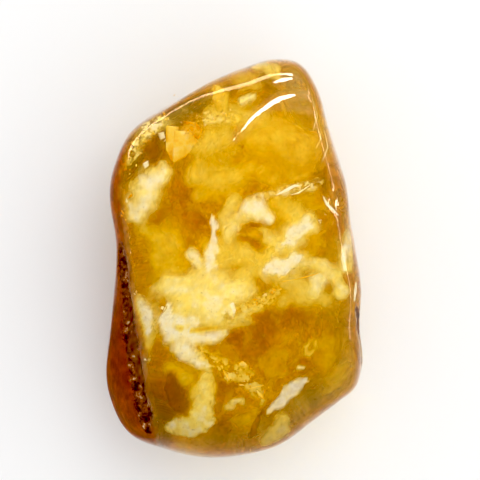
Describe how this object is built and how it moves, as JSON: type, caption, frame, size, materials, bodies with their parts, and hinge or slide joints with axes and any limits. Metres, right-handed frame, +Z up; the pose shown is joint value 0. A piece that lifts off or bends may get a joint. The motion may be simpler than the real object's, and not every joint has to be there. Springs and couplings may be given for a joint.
{
  "type": "amber stone",
  "caption": "Tumbled and polished piece of honey amber with milky clouds inside, a rough dark seam along one shoulder and a patch of rind, lying on its back",
  "frame": {"origin": "the middle of the bounding box's underside, on the surface that the stone rests on", "axes": "+X is the stone's right side as the broad face is seen from above, +Y runs along its length to the narrow end, +Z is up, out of the broad face"},
  "size_m": [0.0384, 0.0598, 0.0236],
  "materials": {
    "honey_amber": "polished clear amber",
    "milky_amber": "cream and yellow clouds and flakes inside the amber",
    "amber_rind": "rough dark crust and rind"
  },
  "bodies": {
    "root": {"amber_stone": "honey_amber"}
  },
  "joints": []
}
